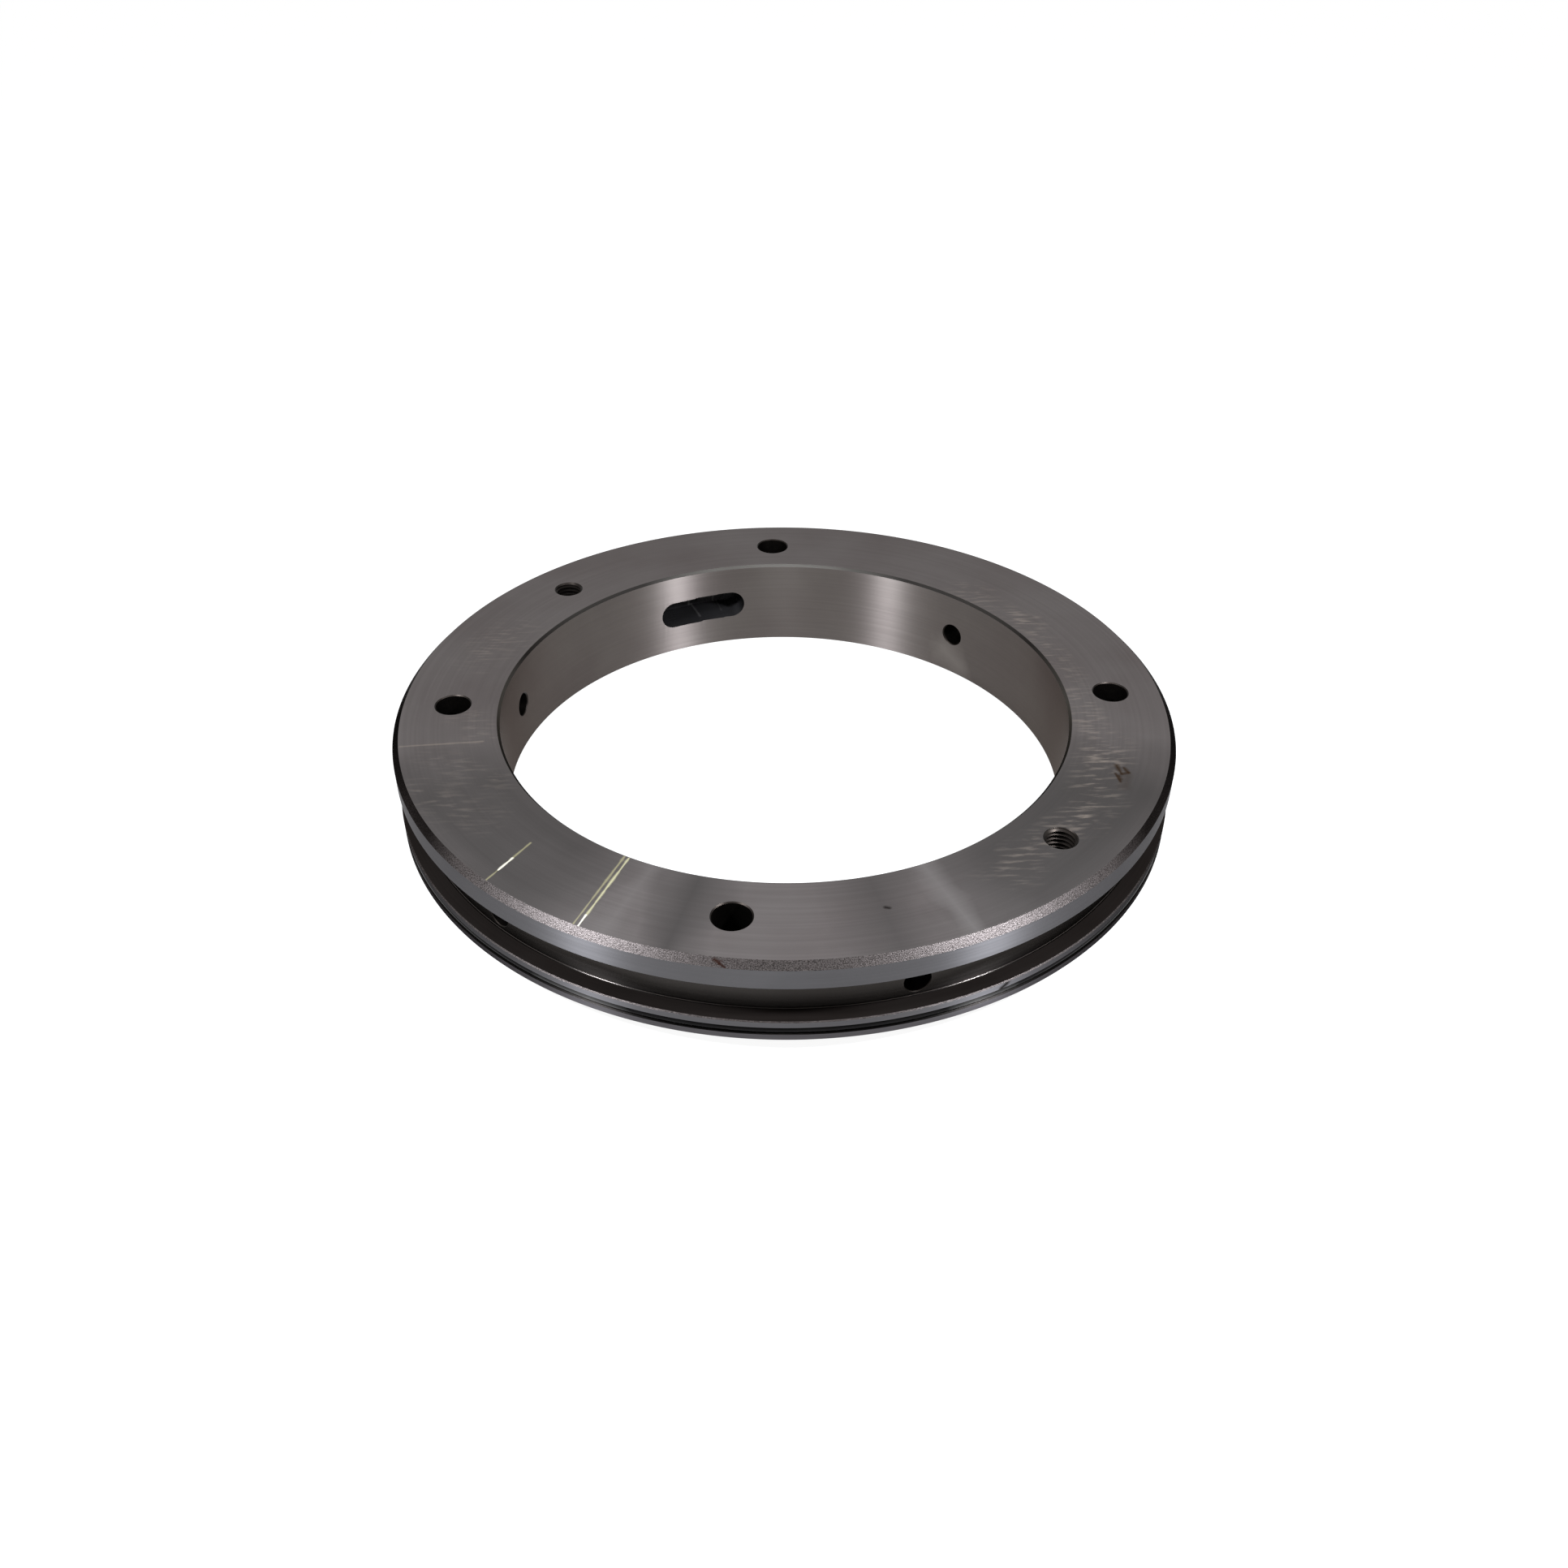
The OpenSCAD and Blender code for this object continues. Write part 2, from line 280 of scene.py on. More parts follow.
# Marks on the top face, each from its start to its end in mm with width, strength and colour. The
# later ones lie on top: painted shade in dark wedges and two painted highlight fans at the front,
# regions where coolant dried in streaks, two scratches and a faint one across the ring drawn as
# painted glints, a brown smear and a nick.
# The first two colours are painted shade in dark wedges and painted highlight fans of the face's
# reflection; smear and nick are real marks.
shade_wedge, highlight_fan, smear, nick = "#3e3c3b", "#8a8786", "#2e2216", "#1c1918"
# The scratches are real; their pale and near-white colours are painted glints of light along them.
scratch_glint, scratch_lit_glint, scratch_bright_glint = "#b5b088", "#d0cda6", "#f4f1e0"
scratch_end_glint, scratch_faint_glint = "#faf8ee", "#b5a898"
drawn_marks = (
    ((-128.5, -62.7), (-91.9, -109.5), 34.0, 0.72, shade_wedge),
    ((-105.2, -51.3), (-75.2, -89.6), 34.0, 0.72, shade_wedge),
    ((77.9, -119.9), (126.3, -67.1), 34.0, 0.8, shade_wedge),
    ((65.4, -97.0), (97.0, -65.4), 34.0, 0.75, shade_wedge),
    ((-32.7, -107.1), (-43.0, -140.6), 18.0, 0.8, shade_wedge),
    ((23.3, -109.6), (30.6, -143.8), 17.0, 0.65, shade_wedge),
    ((42.0, -103.8), (55.1, -136.3), 6.0, 0.22, highlight_fan),
    ((-48.2, -101.1), (-63.3, -132.7), 6.0, 0.12, highlight_fan),
    ((116.0, -8.0), (117.0, -42.0), 14.0, 0.24, coolant),
    ((113.0, -48.0), (102.0, -80.0), 13.0, 0.22, coolant),
    ((98.0, -78.0), (70.0, -106.0), 12.0, 0.18, coolant),
    ((83.0, 84.0), (104.0, 58.0), 9.0, 0.18, coolant),
    ((104.0, 58.0), (115.0, 14.0), 9.0, 0.18, coolant),
    ((-123.0, 36.0), (-111.0, 55.0), 15.0, 0.13, coolant),
    ((-120.0, -10.0), (-116.0, -22.0), 10.0, 0.13, coolant),
    ((-130.0, -36.0), (-106.0, -50.0), 12.0, 0.11, coolant),
    ((-132.0, -56.0), (-112.0, -71.0), 13.0, 0.09, coolant),
    ((-58.0, -95.3), (-72.9, -128.8), 0.6, 0.5, scratch_glint),
    ((-56.4, -96.1), (-71.2, -129.6), 0.6, 0.7, scratch_lit_glint),
    ((-69.0, -124.3), (-71.2, -129.6), 0.6, 0.9, scratch_end_glint),
    ((-90.2, -86.7), (-102.9, -105.7), 0.5, 0.5, scratch_glint),
    ((-95.5, -94.7), (-99.5, -100.7), 0.6, 0.9, scratch_bright_glint),
    ((-113.9, -25.4), (-144.2, -27.7), 0.7, 0.18, scratch_faint_glint),
    ((122.4, -56.0), (119.8, -62.0), 3.0, 0.25, smear),
    ((119.0, -55.6), (119.1, -58.1), 1.5, 0.8, smear),
    ((119.6, -49.3), (120.3, -54.7), 1.2, 0.9, smear),
    ((118.1, -54.3), (118.8, -59.3), 0.9, 0.9, smear),
    ((120.4, -54.7), (123.0, -54.0), 0.9, 0.8, smear),
    ((121.9, -51.0), (123.0, -54.0), 1.1, 0.9, smear),
    ((27.2, -124.2), (28.4, -124.6), 0.9, 1.0, nick),
)
face_marks = [((*start, top_z), (*end, top_z), *look) for start, end, *look in drawn_marks]

# Ground top face: an even satin grey, on which lamps make soft wide fans; at the front it carries
# painted shade and painted highlight fans.
face_steel = ringed_steel(
    "surface_ground_steel", "#605c5b", "#595453", 0.55, 0.1, "#b5b1ae", face_marks
)

# Ground bore: a smoother grey with bright upright bands and a pale run-off below one port.
run_off = "#b9b4ad"
bore_marks = (((75.6, 80.0, 10.0), (81.6, 74.0, 5.0), 9.0, 0.14, run_off),)
bore_steel = ringed_steel(
    "bore_ground_steel", "#5f5a57", "#585250", 0.355, 1.0, "#b8b3b0", bore_marks
)

# Bore's broken top edge: a thin line that is grey at the back and dark at both sides, where a dark
# reflection is painted into its colour as painted shade.
edge_painted_shade = "#1c1a19"
edge_shade_marks = (
    ((58.3, 93.3, top_z), (103.4, 37.6, top_z), 30.0, 0.9, edge_painted_shade),
    ((-58.3, 93.3, top_z), (-103.4, 37.6, top_z), 30.0, 0.9, edge_painted_shade),
)
edge_steel = ringed_steel(
    "broken_edge_steel", "#52504d", "#4a4845", 0.3, 0.0, "#585553", edge_shade_marks
)

# Ground land: the flange's rim, a cool grey with upright bands.
land_steel = ringed_steel("land_ground_steel", "#5c5b5d", "#555456", 0.33, 1.0, "#b5b4b4")

# Turned and oiled steel: the groove and the hidden faces, left from the lathe, dark and smooth.
turned_steel = ringed_steel("turned_oiled_steel", "#43403e", "#393634", 0.25, 1.0, "#8a8886")

# Milled steel: the slot's walls, dark and dull, with painted highlights on the crests where the
# cuts meet.
crest_highlight = "#8a8886"
crest_highlight_marks = (
    ((-39.4, 119.8, 13.0), (-39.4, 119.8, 24.5), 0.6, 0.4, crest_highlight),
    ((-38.3, 120.3, 12.8), (-34.0, 109.1, 12.8), 0.6, 0.35, crest_highlight),
    ((-28.2, 122.9, 13.0), (-28.2, 122.9, 24.5), 0.6, 0.3, crest_highlight),
    ((-26.8, 123.3, 13.0), (-24.2, 113.8, 13.0), 0.6, 0.2, crest_highlight),
)
milled_steel = ringed_steel("milled_steel", "#403f40", "#313031", 0.45, 0.5, "#6a6866", crest_highlight_marks)

# Unground skin: the chamfers keep a grainy scale that sparkles in the light. Both sides of the ring
# carry painted shade, a dark reflection painted into the colour, and there is a rust mark in front.
skin_steel, tree, output = new_material("unground_steel_skin")
place = add(tree, "TexCoord").outputs["Object"]
grit, pit_depth = 0.3, 0.1  # mm across a speckle and into it
speckle = add(
    tree, "TexNoise", {"Vector": place, "Scale": 1 / (grit * MM), "Detail": 2.0}
).outputs["Fac"]
skin_shade = add(tree, "ValToRGB", {"Fac": speckle})
skin_shade.color_ramp.elements[0].position = low
skin_shade.color_ramp.elements[0].color = colour("#262322")
skin_shade.color_ramp.elements[1].position = high
skin_shade.color_ramp.elements[1].color = colour("#565150")
skin_tone = skin_shade.outputs["Color"]
# The first colour is painted shade at both sides; rust is a real mark.
side_painted_shade, rust = "#161413", "#24120c"
skin_marks = (
    ((148.0, 8.0, 36.8), (122.0, -86.0, 36.8), 26.0, 0.85, side_painted_shade),
    ((-148.0, 12.0, 36.8), (-125.6, -78.5, 36.8), 26.0, 0.85, side_painted_shade),
    ((-28.0, -145.6, 37.3), (-26.6, -146.6, 36.6), 0.8, 0.95, rust),
    ((-26.6, -146.6, 36.6), (-24.8, -147.7, 35.8), 0.5, 0.95, rust),
    ((-27.2, -146.0, 37.3), (-25.6, -146.3, 37.2), 0.4, 0.95, rust),
)
for start, end, width, strength, text in skin_marks:
    skin_tone = tint(tree, skin_tone, stroke(tree, place, start, end, width), strength, text)
pits = add(tree, "Bump", {"Height": speckle, "Strength": 0.35, "Distance": pit_depth * MM})
surface = add(
    tree,
    "BsdfPrincipled",
    {
        "Base Color": skin_tone,
        "Roughness": 0.36,
        "Metallic": 1.0,
        "Specular Tint": colour("#6a6866"),
        "Normal": pits.outputs["Normal"],
    },
)
tree.links.new(surface.outputs["BSDF"], output.inputs["Surface"])

# Cut steel: the drilled, tapped and milled walls, oily with tool marks, and nearly black as painted
# shade inside the holes.
cut_steel, tree, output = new_material("drilled_and_milled_steel")
place = add(tree, "TexCoord").outputs["Object"]
tool_mark = 1.6  # mm between tool marks
tool_lines = add(
    tree, "TexNoise", {"Vector": place, "Scale": 1 / (tool_mark * MM), "Detail": 2.0}
).outputs["Fac"]
cut_shade = add(
    tree,
    "Mix",
    {"Factor": tool_lines, "A": colour("#171514"), "B": colour("#26221f")},
    data_type="RGBA",
).outputs["Result"]
surface = add(
    tree, "BsdfPrincipled", {"Base Color": cut_shade, "Roughness": 0.42, "Metallic": 1.0}
)
tree.links.new(surface.outputs["BSDF"], output.inputs["Surface"])

inner_steels = [face_steel, land_steel, skin_steel, turned_steel, bore_steel, edge_steel]
for steel in inner_steels:
    inner_ring.data.materials.append(steel)
near = 0.1  # mm within which a facet counts as lying on a face
for face in inner_ring.data.polygons:
    reach, height = face.center.xy.length / MM, face.center.z / MM
    steel = turned_steel
    if height > top_z - near:
        steel = face_steel
    elif height > top_z - top_chamfer and reach > land_r - top_chamfer:
        steel = skin_steel
    elif reach > land_r - near:
        steel = land_steel
    elif reach < bore_r + near:
        steel = bore_steel
    elif reach < bore_r + bore_chamfer:
        steel = edge_steel
    face.material_index = inner_steels.index(steel)


def cut(body, cutter, material):
    """Takes a cutter's shape out of a piece; the new walls get the material."""
    cutter.data.materials.append(material)
    bpy.context.view_layer.update()
    bpy.context.view_layer.objects.active = body
    bpy.ops.object.modifier_add(type="BOOLEAN")
    step = body.modifiers[-1]
    step.object, step.operation, step.solver = cutter, "DIFFERENCE", "EXACT"
    step.material_mode = "TRANSFER"
    bpy.ops.object.modifier_apply(modifier=step.name)
    bpy.data.objects.remove(cutter)


def set_upright(cutter, turned, reach):
    """Stands a turned cutter on the hole circle at an angle in degrees."""
    cutter.matrix_world = Matrix.Rotation(math.radians(turned), 4, "Z") @ Matrix.Translation(
        (reach * MM, 0, 0)
    )


def set_radial(cutter, turned, height):
    """Lays a turned cutter along a radius, so that its own height becomes the radius."""
    cutter.matrix_world = (
        Matrix.Rotation(math.radians(turned), 4, "Z")
        @ Matrix.Translation((0, 0, height * MM))
        @ Matrix.Rotation(math.radians(90), 4, "Y")
    )


# Plain access holes, one of them 10 degrees off the cross.
hole_circle_r = 128.5
access_r, hole_break = 6.75, 0.4
past = 2.0  # mm by which a cutter stands past the wall it goes through
hole_steps, small_steps, thread_steps, slot_steps = 64, 32, 48, 48
for turned in (0, 90, 180, 260):
    section = [
        (0, step_z - past),
        (access_r, step_z - past),
        (access_r, top_z - hole_break),
        (access_r + hole_break + past, top_z + past),
        (0, top_z + past),
    ]
    cutter = turn("access_cutter", section, hole_steps)
    set_upright(cutter, turned, hole_circle_r)
    cut(inner_ring, cutter, cut_steel)

# Tapped holes: a thread of this pitch wound as one groove, with a countersunk mouth.
core_r, thread_r, thread_pitch = mount["tapped_hole_a"]["dims"]["r_mm"], 6.0, 1.75
mouth_r = 6.1
thread_crest, thread_root = thread_pitch / 4, thread_pitch / 8
thread_flank = (thread_pitch - thread_crest - thread_root) / 2
groove = [
    (core_r, 0),
    (core_r, thread_crest),
    (thread_r, thread_crest + thread_flank),
    (thread_r, thread_crest + thread_flank + thread_root),
    (core_r, thread_pitch),
]
start_z = step_z - past
spare_turns = 2
for turned in (135, 315):
    bpy.ops.object.select_all(action="DESELECT")
    bpy.ops.mesh.primitive_circle_add(vertices=len(groove), fill_type="NOTHING")
    cutter = bpy.context.object
    for corner, (reach, height) in zip(cutter.data.vertices, groove):
        corner.co = (reach * MM, 0, (start_z - thread_pitch + height) * MM)
    bpy.ops.object.mode_set(mode="EDIT")
    bpy.ops.mesh.select_all(action="DESELECT")
    bpy.ops.object.mode_set(mode="OBJECT")
    for edge in cutter.data.edges:
        edge.select = set(edge.vertices) == {0, len(groove) - 1}
    bpy.ops.object.mode_set(mode="EDIT")
    bpy.ops.mesh.select_mode(type="EDGE")
    bpy.ops.mesh.delete(type="EDGE")
    bpy.ops.object.mode_set(mode="OBJECT")
    bpy.ops.object.modifier_add(type="SCREW")
    winding = cutter.modifiers[-1]
    winding.screw_offset = thread_pitch * MM
    winding.iterations = math.ceil((top_z - step_z + 3 * past) / thread_pitch) + spare_turns
    winding.steps = winding.render_steps = thread_steps
    bpy.ops.object.modifier_apply(modifier=winding.name)
    bpy.ops.object.mode_set(mode="EDIT")
    bpy.ops.mesh.select_all(action="SELECT")
    bpy.ops.mesh.remove_doubles(threshold=MERGE)
    for height, upward in ((start_z + past / 2, -1), (top_z + past / 2, 1)):
        bpy.ops.mesh.select_all(action="SELECT")
        bpy.ops.mesh.bisect(
            plane_co=(0, 0, height * MM),
            plane_no=(0, 0, upward),
            use_fill=True,
            clear_outer=True,
        )
    bpy.ops.mesh.select_all(action="SELECT")
    bpy.ops.mesh.normals_make_consistent(inside=False)
    bpy.ops.object.mode_set(mode="OBJECT")
    set_upright(cutter, turned, hole_circle_r)
    cut(inner_ring, cutter, cut_steel)
    section = [
        (0, top_z - mouth_r),
        (mouth_r + past, top_z + past),
        (0, top_z + past),
    ]
    cutter = turn("mouth_cutter", section, hole_steps)
    set_upright(cutter, turned, hole_circle_r)
    cut(inner_ring, cutter, cut_steel)

# Radial ports at mid height, with a small break at both mouths.
port_r, port_z, port_break = 4.65, top_z / 2, 0.3
for turned in (45, 165, 225, 285, 345):
    section = [
        (0, bore_r - past),
        (port_r + port_break + past, bore_r - past),
        (port_r, bore_r + port_break),
        (port_r, drum_r - port_break),
        (port_r + port_break + past, drum_r + past),
        (0, drum_r + past),
    ]
    cutter = turn("port_cutter", section, hole_steps)
    set_radial(cutter, turned, port_z)
    cut(inner_ring, cutter, cut_steel)

# Slot in the bore: three end-mill cuts, each square to its own angle, so that two ridges cross it.
# Each cut is given by its angle, where it starts and ends beside that, and how far it drops.
slot_r, slot_depth, slot_z = 6.15, 16.0, port_z
slot_cuts = ((111, -5.2, 6.4, 0.5), (105.4, -5.2, 5.2, 0.1), (100.4, -0.1, 4.6, -0.15))
for turned, start, end, drop in slot_cuts:
    bpy.ops.object.select_all(action="DESELECT")
    bpy.ops.mesh.primitive_cylinder_add(
        vertices=slot_steps,
        radius=slot_r * MM,
        depth=2 * slot_depth * MM,
        rotation=(0, math.pi / 2, 0),
    )
    cutter = bpy.context.object
    bpy.ops.object.transform_apply(rotation=True)
    for corner in cutter.data.vertices:
        corner.co.y += (end if corner.co.y > 0 else start) * MM
    cutter.matrix_world = Matrix.Rotation(math.radians(turned), 4, "Z") @ Matrix.Translation(
        (bore_r * MM, 0, (slot_z - drop) * MM)
    )
    cut(inner_ring, cutter, milled_steel)

# Filling hole for the balls, and the hole for its locking pin.
plug_angle, plug_r, pin_r, pin_at = 270, 3.2, 1.0, 111.95
pin_top = ball_z + plug_r + 1
pin_hole = [(0, -past), (pin_r, -past), (pin_r, pin_top), (0, pin_top)]
section = [
    (0, bore_r - past),
    (plug_r, bore_r - past),
    (plug_r, sleeve_r + past),
    (0, sleeve_r + past),
]
cutter = turn("filling_cutter", section, hole_steps)
set_radial(cutter, plug_angle, ball_z)
cut(inner_ring, cutter, cut_steel)
cutter = turn("pin_cutter", pin_hole, small_steps)
set_upright(cutter, plug_angle, pin_at)
cut(inner_ring, cutter, cut_steel)


smooth_angle = 30  # degrees between facets above which an edge stays sharp


def finish_piece(piece, body, slot, *nodes):
    """Smooths a finished piece and puts it on its body in place of its solids."""
    bpy.ops.object.select_all(action="DESELECT")
    piece.select_set(True)
    bpy.context.view_layer.objects.active = piece
    bpy.ops.object.shade_smooth_by_angle(angle=math.radians(smooth_angle))
    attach(piece, body)
    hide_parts(*nodes)


finish_piece(inner_ring, "inner", "ring_steel", "inner_ring")


# Outer ring: the fixed lower ring, turned from the same steel. Its rim carries the small groove
# for the rubber ring, its bore the outer half of the ball race, and four counterbored holes.

outer_h, outer_bore_r, lead_in = 13.2, 117.9, 5.3
recess_r, recess_z = 140.3, 11.4
relief_r, relief_half, relief_steps = 0.4, 30, 10
band_r, band_low, band_high = 147.0, 7.53, 10.63
seal_in, seal_out, seal_floor = 136.6, 138.6, 9.8
low_seal_r, low_seal_z, low_seal_top = 119.4, 0.6, 1.8
relief_z = outer_h + relief_r / 2
race_half = math.degrees(math.acos((outer_bore_r - pitch_r) / race_r))
outer_section = [
    (outer_bore_r + edge_break, 0),
    (land_r - lead_in, 0),
    (land_r, lead_in),
    (land_r, band_low),
    (band_r, band_low),
    (band_r, band_high),
    (land_r, band_high),
    (land_r, outer_h - edge_break),
    (land_r - edge_break, outer_h),
    *arc(drum_r + relief_r, relief_z, relief_r, -relief_half, relief_half - 180, relief_steps),
    (recess_r, outer_h),
    (recess_r, recess_z),
    (seal_out, recess_z),
    (seal_out, seal_floor),
    (seal_in, seal_floor),
    (seal_in, recess_z),
    (outer_bore_r + edge_break, recess_z),
    (outer_bore_r, recess_z - edge_break),
    *arc(pitch_r, ball_z, race_r, race_half, -race_half, race_steps),
    (outer_bore_r, low_seal_top),
    (low_seal_r, low_seal_top),
    (low_seal_r, low_seal_z),
    (outer_bore_r, low_seal_z),
    (outer_bore_r, edge_break),
]
outer_ring = turn("outer_ring_piece", outer_section, ring_steps)

# Ground rim: the land above the rubber ring and the bottom face, a cool grey with upright bands
# and one dark pit.
pit = "#14110f"
rim_marks = (((65.5, -134.95, 10.8), (67.6, -133.9, 12.2), 1.7, 1.0, pit),)
rim_steel = ringed_steel("rim_ground_steel", "#5c5b5d", "#555456", 0.33, 1.0, "#6a6866", rim_marks)

# Ground lip: the land below the rubber ring, a shade darker, with weaker bands.
lip_steel = ringed_steel("lip_ground_steel", "#525052", "#4b494b", 0.29, 1.0, "#6a6866")

# Turned flank: the groove's floor, brown-black with oil and dull, so that no lamp shows in it.
flank_steel = ringed_steel("turned_flank_steel", "#282422", "#201c1a", 0.6, 0.0, "#8a8886")

outer_steels = [turned_steel, rim_steel, skin_steel, flank_steel, lip_steel]
for steel in outer_steels:
    outer_ring.data.materials.append(steel)
for face in outer_ring.data.polygons:
    reach, height = face.center.xy.length / MM, face.center.z / MM
    steel = turned_steel
    if outer_h - edge_break < height < outer_h - near and reach > land_r - edge_break:
        steel = skin_steel
    elif reach > land_r - near and height < band_low:
        steel = lip_steel
    elif reach > land_r - near or height < near:
        steel = rim_steel
    elif height > outer_h - near and reach > drum_r:
        steel = flank_steel
    face.material_index = outer_steels.index(steel)

# Fixing holes, counterbored from above for the screws' heads.
fix_r, head_r, head_z = mount["fixing_holes"]["dims"]["hole_r_mm"], 7.0, 3.2
for turned in range(0, 360, 90):
    section = [
        (0, -past),
        (fix_r + edge_break + past, -past),
        (fix_r, edge_break),
        (fix_r, head_z),
        (head_r, head_z),
        (head_r, recess_z + past),
        (0, recess_z + past),
    ]
    cutter = turn("fixing_cutter", section, hole_steps)
    set_upright(cutter, turned, hole_circle_r)
    cut(outer_ring, cutter, cut_steel)
finish_piece(outer_ring, "outer", "ring_steel", "outer_ring")


# O-ring: a moulded black rubber cord ring that lies in the rim's small groove, a little under
# the lands, and seals the rim in its seat.

cord_r, cord_z = 1.4, (band_low + band_high) / 2
round_end, round_steps = 345, 23  # a full circle of 24 points, which stops short of its start
cord_section = arc(band_r + cord_r, cord_z, cord_r, 0, round_end, round_steps)
o_ring = turn("o_ring_piece", cord_section, ring_steps)

# Nitrile rubber: nearly black, with a faint bloom. Oil wets it at two places in front, which gleam.
bloom_size = 9  # mm across a patch of bloom
dry_gloss, wet_gloss, wet_width = 0.03, 1.0, 17.0
wet_spots = ((-69.6, -132.6), (57.3, -138.4))
seal_rubber, tree, output = new_material("nitrile_rubber")
place = add(tree, "TexCoord").outputs["Object"]
bloom = add(
    tree, "TexNoise", {"Vector": place, "Scale": 1 / (bloom_size * MM), "Detail": 3.0}
).outputs["Fac"]
rubber_shade = add(
    tree,
    "Mix",
    {"Factor": bloom, "A": colour("#060606"), "B": colour("#0e0d0d")},
    data_type="RGBA",
).outputs["Result"]
wet_left, wet_right = (
    stroke(tree, place, (x, y, band_low), (x, y, band_high), wet_width) for x, y in wet_spots
)
wet = add(tree, "Math", {0: wet_left, 1: wet_right}, operation="MAXIMUM").outputs["Value"]
gloss = add(
    tree, "MapRange", {"Value": wet, "To Min": dry_gloss, "To Max": wet_gloss}
).outputs["Result"]
surface = add(
    tree,
    "BsdfPrincipled",
    {"Base Color": rubber_shade, "Roughness": 0.18, "Specular IOR Level": gloss},
)
tree.links.new(surface.outputs["BSDF"], output.inputs["Surface"])
o_ring.data.materials.append(seal_rubber)
finish_piece(o_ring, "outer", "seal_rubber", "o_ring")


# Seals: two black rubber rings set in grooves of the outer ring. The upper one runs on the
# inner ring's step, and the lower one closes the ball row against the sleeve.

lip_clear, lip = 0.1, 0.3
upper_seal = turn(
    "upper_seal_piece",
    [
        (seal_in, seal_floor),
        (seal_out, seal_floor),
        (seal_out, recess_z),
        (seal_out - lip, step_z - lip_clear),
        (seal_out - 2 * lip, step_z - lip_clear),
        (seal_in + lip, recess_z),
        (seal_in, recess_z - lip),
    ],
    ring_steps,
)
lower_seal = turn(
    "lower_seal_piece",
    [
        (sleeve_r + lip_clear, low_seal_z),
        (low_seal_r, low_seal_z),
        (low_seal_r, low_seal_top),
        (outer_bore_r, low_seal_top),
        (outer_bore_r - lip, low_seal_z + 2 * lip),
        (sleeve_r + lip_clear, low_seal_z + lip),
    ],
    ring_steps,
)
for piece, node in ((upper_seal, "upper_seal"), (lower_seal, "lower_seal")):
    piece.data.materials.append(seal_rubber)
    finish_piece(piece, "outer", "seal_rubber", node)


# Filling plug and pin: the balls go in through a hole in the sleeve, which a steel plug then
# closes flush with the bore; a pin driven up from the sleeve's end locks the plug.

plug_clear, pin_break = 0.02, 0.2
section = [
    (0, bore_r + plug_clear),
    (plug_r - plug_clear, bore_r + plug_clear),
    (plug_r - plug_clear, sleeve_r - plug_clear),
    (0, sleeve_r - plug_clear),
]
filling_plug = turn("filling_plug_piece", section, hole_steps)
filling_plug.data.materials.append(cut_steel)
set_radial(filling_plug, plug_angle, ball_z)
race_section = arc(pitch_r, ball_z, race_r, 0, round_end, round_steps)
cutter = turn("race_cutter", race_section, ring_steps)
cut(filling_plug, cutter, cut_steel)
cutter = turn("pin_cutter", pin_hole, small_steps)
set_upright(cutter, plug_angle, pin_at)
cut(filling_plug, cutter, cut_steel)
plug_pin = turn(
    "plug_pin_piece",
    [
        (0, sleeve_z + edge_break),
        (pin_r - pin_break, sleeve_z + edge_break),
        (pin_r - plug_clear, sleeve_z + edge_break + pin_break),
        (pin_r - plug_clear, pin_top - edge_break),
        (0, pin_top - edge_break),
    ],
    small_steps,
)
plug_pin.data.materials.append(cut_steel)
set_upright(plug_pin, plug_angle, pin_at)
for piece, node in ((filling_plug, "filling_plug"), (plug_pin, "plug_pin")):
    piece.data.transform(piece.matrix_world)
    piece.matrix_world = Matrix.Identity(4)
    finish_piece(piece, "inner", "pin_steel", node)


# Ball cage: a thin ring stamped from brass, which runs between the two races with the balls.
# A round pocket for each ball keeps them apart.

ball_r, ball_count, pocket_r = 3.0, 36, 3.15
cage_t, cage_h = 1.2, 7.6
cage = turn(
    "ball_cage_piece",
    [
        (pitch_r - cage_t / 2, ball_z - cage_h / 2),
        (pitch_r + cage_t / 2, ball_z - cage_h / 2),
        (pitch_r + cage_t / 2, ball_z + cage_h / 2),
        (pitch_r - cage_t / 2, ball_z + cage_h / 2),
    ],
    ring_steps,
)

# Stamped brass: a warm yellow that is tarnished brown in soft patches.
tarnish_size = 12  # mm across a patch
cage_brass, tree, output = new_material("stamped_brass")
place = add(tree, "TexCoord").outputs["Object"]
tarnish = add(
    tree, "TexNoise", {"Vector": place, "Scale": 1 / (tarnish_size * MM), "Detail": 3.0}
).outputs["Fac"]
brass_shade = add(
    tree,
    "Mix",
    {"Factor": tarnish, "A": colour("#b08a45"), "B": colour("#8a6a35")},
    data_type="RGBA",
).outputs["Result"]
surface = add(
    tree, "BsdfPrincipled", {"Base Color": brass_shade, "Roughness": 0.35, "Metallic": 1.0}
)
tree.links.new(surface.outputs["BSDF"], output.inputs["Surface"])
cage.data.materials.append(cage_brass)
section = [
    (0, sleeve_r - past),
    (pocket_r, sleeve_r - past),
    (pocket_r, outer_bore_r + past),
    (0, outer_bore_r + past),
]
for i in range(ball_count):
    cutter = turn("pocket_cutter", section, small_steps)
    set_radial(cutter, i * 360 / ball_count, ball_z)
    cut(cage, cutter, cage_brass)
finish_piece(cage, "ball_set", "cage_brass", "ball_cage")


# Balls: 36 balls of hardened chrome steel, ground and lapped, one in each pocket of the cage.
# Each is a cube that is rounded by subdivision and then brought to an even radius.

